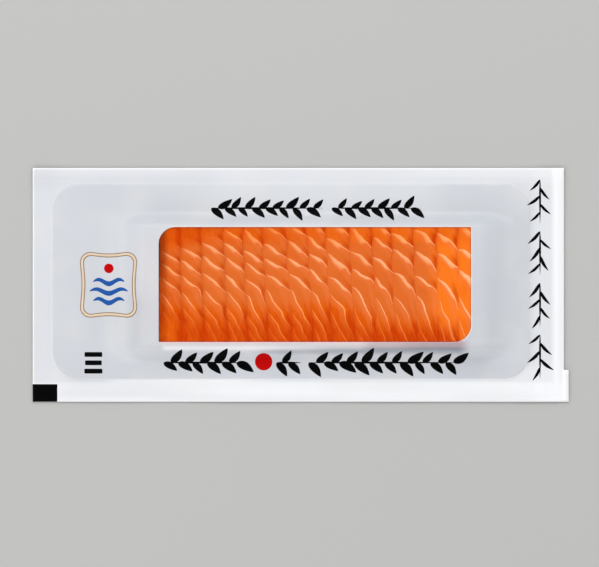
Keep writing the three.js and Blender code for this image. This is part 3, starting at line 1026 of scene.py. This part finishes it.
def slice_mesh(salmon, k):
    top, foot_left, foot_right, across, along, phase = slice_points(salmon, k)
    rows, columns = across.shape
    sections = np.concatenate([top, foot_right[:, None], foot_left[:, None]], axis=1)
    around = columns + 2
    index = np.arange(rows * around).reshape(rows, around)
    after = np.roll(index, -1, axis=1)
    quads = np.stack([index[:-1], after[:-1], after[1:], index[1:]], -1)
    smooth = np.zeros(quads.shape[:2], bool)
    smooth[:, : columns - 1] = True
    faces = [*quads.reshape(-1, 4).tolist(), index[0][::-1].tolist(), index[-1].tolist()]
    mesh = build_mesh(f"slice_{k + 1:02d}", sections.reshape(-1, 3), faces, [*smooth.ravel(), False, False])
    x, y = top[..., 0], top[..., 1]
    attributes = line_attributes(salmon, k, x, across, along, phase) | flesh_attributes(x, y, across, along)
    for name, values in attributes.items():
        padded = np.concatenate([values, values[:, -1:], values[:, :1]], axis=1)
        add_attribute(mesh, name, padded)
    return mesh


def window_share(x):
    """0 at the window's left side and 1 at its right one."""
    return np.clip((x - WINDOW.left) / (WINDOW.right - WINDOW.left), 0, 1)


def line_attributes(salmon, k, x, across, along, phase):
    """What the flesh material reads of the fat lines: their place, size, softness and strength."""
    ahead = line_phase(salmon, k, across + 0.01, along)
    slant = (phase - ahead) * line_spacing(salmon, k) / (0.01 * SLICE_PITCH)
    draws = np.random.default_rng(salmon.seed + 100 + k).uniform(0, 1, (3, 64))
    stout, bright, reach = draws[:, np.round(phase).astype(int) % 64]
    down = along / (2 * LOIN_HALF_WIDTH)
    lower = ease_up((down - 0.3) / 0.45)
    far_right = ease_up((window_share(x) - 0.88) / 0.06)

    peak = blend(0.38, 0.66, reach)
    belly = 0.18 + 0.82 * np.where(across < peak, (across / peak) ** 0.8, ease_down((across - peak) / 0.3))
    taper = blend(1.3 + 0.4 * window_share(x) + 0.4 * far_right, 0.6 + 0.35 * far_right, lower)
    width = salmon.line_width * belly ** blend(1.0, 1.4, lower) * blend(0.75, 1.35, stout) * taper

    bare = blend(0.2, 0.03, ease_up((k - 1.5) / 3))
    plain_from = blend(0.6, 0.68, ease_up(k / 3))
    fade = np.interp(across, [0, 0.15, 0.35, 0.7, 1], [0.2, 0.65, 1, 1, 0.55])
    strength = fade * blend(0.75, 1.05, bright) * blend(0.84, 1.0, window_share(x)) * (1 + 0.15 * far_right)
    strength *= ease_up((down - bare) / 0.07) * blend(0.8, 1.0, ease_up((down - 0.1) / 0.1))
    strength *= 1 - ease_up((down - plain_from) / 0.2) * blend(1.0, 0.6, ease_up(k / 6))
    return {
        "line_phase": phase,
        "line_scale": line_spacing(salmon, k) / np.sqrt(1 + slant**2) / MM,
        "line_width": width / MM,
        "line_soft": blend(0.65, 0.1, lower),
        "line_strength": strength,
        # Painted shade above the tails of fat lines, by the slice's right cut.
        "tail_shade": ease_up((across - 0.62) / 0.33),
    }


def flesh_attributes(x, y, across, along):
    """What the flesh material reads of its tone: deeper at the cuts, as painted shade between the slices, and
    low down, with painted shade along the window's edges, warmer to the right.
    """
    down = along / (2 * LOIN_HALF_WIDTH)
    right_share = window_share(x)
    inward = x - WINDOW.left
    at_cut = ease_down(across / 0.2) + ease_up((across - 0.76) / 0.24)
    right = ease_up((right_share - 0.6) / 0.12)
    low_corner = fade_out(inward, 8, 4) * ease_up((down - 0.7) / 0.12)
    top_corner = fade_out(inward, 7, 4) * ease_down((down - 0.18) / 0.08)

    later = 0.1 * right - 0.04 * bell(right_share, 0.53, 0.07, unit=1)
    rich = ease_down((down - 0.1) / 0.16) * blend(1.0, 0.5, right_share) + 0.35 * fade_out(inward, 0, 30)
    rich += ease_up((down - 0.58 - later) / 0.16) * blend(1.0, 0.3, ease_up((right_share - 0.88) / 0.06))

    low = blend(0.7, 1.0, right) * ease_up((down - 0.66 - later) / blend(0.24, 0.17, right))
    low *= blend(1.0, 0.1, ease_up((right_share - 0.925) / 0.04))
    low += 0.25 * fade_out(inward, 6, 14) * blend(1.0, 0.2, ease_up((down - 0.72) / 0.15))
    low += 0.5 * at_cut * ease_up((down - 0.62 - later) / 0.14)
    high = at_cut * ease_down((down - 0.12) / 0.14)
    high += ease_down((down - 0.12) / 0.1) * fade_out(inward, 20, 20)
    left_cuts = ease_down(across / 0.45) * fade_out(inward, 20, 10) * ease_up((down - 0.55) / 0.2)
    right_cuts = at_cut * ease_down((down - 0.3) / 0.25)
    right_cuts *= blend(0.12, 0.3, ease_up((right_share - 0.6) / 0.15))
    # Deeper flesh low down, and painted shade at the cuts between slices and near the window's left side.
    deep_and_cut_shade = low * (1 - 0.85 * low_corner) + 0.35 * high * (1 - top_corner) + 0.4 * left_cuts + right_cuts

    upper_left = fade_out(inward, 2.2, 4.2) * ease_up((0.75 - down) / 0.45)
    lower_left = fade_out(inward, 2.5, 3.5) * ease_up((down - 0.4) / 0.3)
    at_edge = fade_in(past_box(WINDOW, x, y), -0.9, 0.9)
    at_top = fade_out(WINDOW.top - y, 0, 4) * ease_down((right_share - 0.1) / 0.35)
    left_seams = at_cut * ease_down((right_share - 0.2) / 0.25)
    left_seams *= ease_up((down - 0.12) / 0.1) * ease_down((down - 0.72) / 0.12)
    shade = 0.75 * upper_left + 0.36 * lower_left + 0.3 * at_edge + 0.12 * at_top + 0.14 * left_seams

    top_right = ease_down((down - 0.12) / 0.08) * ease_up((right_share - 0.42) / 0.2)
    warm = ease_up((right_share - 0.84) / 0.08) + 0.8 * top_right + 0.8 * np.maximum(low_corner, top_corner)
    return {
        "rich": np.clip(rich, 0, 1),
        "deep_and_cut_shade": np.clip(deep_and_cut_shade, 0, 1.1),
        "shade": np.clip(shade, 0, 1),
        "warm": np.clip(warm, 0, 1),
    }


def flesh_material(salmon):
    """Orange flesh: pale fat lines with a crisp upper and a soft lower side, deeper orange along the cuts as
    painted shade between the slices, and painted shade along the window's edges.
    """
    shader = Shader("salmon flesh")
    phase = shader.attribute("line_phase") + (shader.noise(4.5 * MM, 2) - 0.5) * 0.14
    part = phase - phase.round()
    below = part * shader.attribute("line_scale")
    width = shader.attribute("line_width")
    strength = shader.attribute("line_strength")
    upper_side = shader.step(below, -0.4, 0.1)
    lower_side = 1 - shader.step(below / width, 0.1, shader.attribute("line_soft") + 1.0)
    line = upper_side * lower_side * strength
    glow = shader.step(below, -0.4, 0.4) * (1 - shader.step(below, 0.8, 5.5)) * strength
    # Painted shade above the tails of fat lines by the right cut.
    tail_shade = shader.attribute("tail_shade") * shader.step(part, -0.5, -0.3) * (1 - shader.step(part, -0.1, 0.0))
    fibre = shader.noise(0.9 * MM, 3, stretch=(1, 0.4, 1))
    cloud = shader.noise(11 * MM, 3)
    streak = shader.noise(6 * MM, 2, stretch=(4, 0.9, 1)) - 0.5
    middle = shader.mix(shader.attribute("warm"), salmon.flesh, salmon.warm_flesh)
    flesh = shader.mix(shader.attribute("rich") + (cloud - 0.5) * 0.6, middle, salmon.rich_flesh)
    pale = shader.mix(glow * 0.45, flesh, salmon.pale_flesh)
    # Deeper flesh, with painted shade at the cuts and above the tails of fat lines.
    deep_and_cut_shade = shader.attribute("deep_and_cut_shade") + (cloud - 0.5) * 0.4 + streak * shader.attribute("rich") + tail_shade * 0.55
    deepened = shader.mix(deep_and_cut_shade * (1 - glow * 0.6), pale, salmon.deep_and_shaded_flesh)
    grained = shader.mix((fibre - 0.5) * 0.3, deepened, salmon.pale_flesh)
    lined = shader.mix(line, grained, shader.mix(shader.attribute("rich"), salmon.fat, salmon.rich_fat))
    shown = shader.mix(shader.attribute("shade"), lined, salmon.shaded_flesh)
    rough = 0.4 + (fibre - 0.5) * 0.2
    bump = shader.bump(fibre + line * 0.5, 0.04 * MM, 0.3)
    surface = shader.surface(Base_Color=shown, Roughness=rough, Normal=bump, Specular_IOR_Level=0.03)
    return shader.finish(surface)


class PACK_OT_slices(bpy.types.Operator):
    """Builds the slices of salmon, each in the place of its solid"""

    bl_idname = "pack.slices"
    bl_label = "Salmon slices"

    def execute(self, context):
        salmon = context.scene.pack_salmon
        material = flesh_material(salmon)
        for k in range(SLICE_COUNT):
            name = f"slice_{k + 1:02d}"
            add_piece(f"{name}_piece", slice_mesh(salmon, k), material, name)
        return {"FINISHED"}


# ---- the stage ----


def area_light(name, place, size, power):
    """A soft light that faces the pack."""
    light = bpy.data.lights.new(name, "AREA")
    light.shape = "RECTANGLE"
    light.size, light.size_y = size
    light.energy = power
    thing = new_object(name, light)
    thing.location = place
    thing.rotation_euler = (-Vector(place)).to_track_quat("-Z", "Y").to_euler()


def soft_sky(stage):
    """Even light from all round, dimmer straight overhead so that the clear film reflects little of it."""
    sky = Shader("studio", world=True)
    direction = sky.node("ShaderNodeTexCoord", output="Generated")
    height = sky.node("ShaderNodeSeparateXYZ", None, (direction,), output="Z")
    overhead = sky.step(height, 0.8, 0.95)
    strength = stage.sky_strength + overhead * (stage.zenith_strength - stage.sky_strength)
    return sky.finish(sky.node("ShaderNodeBackground", None, {"Color": (1, 1, 1), "Strength": strength}))


class PACK_OT_stage(bpy.types.Operator):
    """Builds the floor, the lights and the camera"""

    bl_idname = "pack.stage"
    bl_label = "Stage"

    def execute(self, context):
        stage = context.scene.pack_stage
        side, below = 3.0, -0.05 * MM
        corners = [(-side, -side, below), (side, -side, below), (side, side, below), (-side, side, below)]
        shader = Shader("floor")
        cloud = shader.noise(0.4, 2)
        shown = shader.mix(cloud * 0.1, stage.floor, stage.floor_cloud)
        floor_material = shader.finish(shader.surface(Base_Color=shown, Roughness=0.6))
        floor = new_object("floor", build_mesh("floor", corners, [(0, 1, 2, 3)], [False]), floor_material)

        area_light("key", (-0.1, 1.1, 1.2), (1.4, 0.8), stage.key_power)
        area_light("side", (-0.9, -0.8, 0.5), (0.5, 0.3), stage.fill_power)
        context.scene.world = soft_sky(stage)

        camera = bpy.data.cameras.new("camera")
        camera.type = "PERSP"
        camera.sensor_width = 36
        camera.lens = camera.sensor_width * stage.camera_height / stage.frame_width
        camera.clip_end = 20
        viewpoint = new_object("camera", camera)
        viewpoint.location = (-0.66 * MM, 0.76 * MM, stage.camera_height)
        context.scene.camera = viewpoint
        context.scene.view_settings.view_transform = "Standard"
        return {"FINISHED"}


class PACK_PT_panel(bpy.types.Panel):
    """Lists the settings and the steps of the pack"""

    bl_idname = "PACK_PT_panel"
    bl_label = "Salmon Pack"
    bl_space_type = "VIEW_3D"
    bl_region_type = "UI"
    bl_category = "Salmon Pack"

    def draw(self, context):
        for title, key, operators in SECTIONS:
            box = self.layout.box()
            box.label(text=title)
            settings = getattr(context.scene, key)
            for name in settings.__annotations__:
                box.prop(settings, name)
            for operator in operators:
                box.operator(operator)


SECTIONS = (
    ("Films", "pack_film", ("pack.lower_film", "pack.board", "pack.printed_film", "pack.window_film")),
    ("Salmon", "pack_salmon", ("pack.slices",)),
    ("Print", "pack_print", ("pack.print",)),
    ("Stage", "pack_stage", ("pack.stage",)),
)
SETTINGS = {
    "pack_film": FilmSettings,
    "pack_salmon": SalmonSettings,
    "pack_print": PrintSettings,
    "pack_stage": StageSettings,
}
CLASSES = (
    *SETTINGS.values(),
    PACK_OT_lower_film,
    PACK_OT_board,
    PACK_OT_slices,
    PACK_OT_printed_film,
    PACK_OT_window_film,
    PACK_OT_print,
    PACK_OT_stage,
    PACK_PT_panel,
)


def register():
    for each in CLASSES:
        bpy.utils.register_class(each)
    for key, group in SETTINGS.items():
        setattr(bpy.types.Scene, key, PointerProperty(type=group))


def unregister():
    for key in SETTINGS:
        delattr(bpy.types.Scene, key)
    for each in reversed(CLASSES):
        bpy.utils.unregister_class(each)


def main():
    register()
    bpy.ops.pack.lower_film()
    bpy.ops.pack.board()
    bpy.ops.pack.slices()
    bpy.ops.pack.printed_film()
    bpy.ops.pack.window_film()
    bpy.ops.pack.print()
    bpy.ops.pack.stage()


if __name__ == "__main__":
    main()
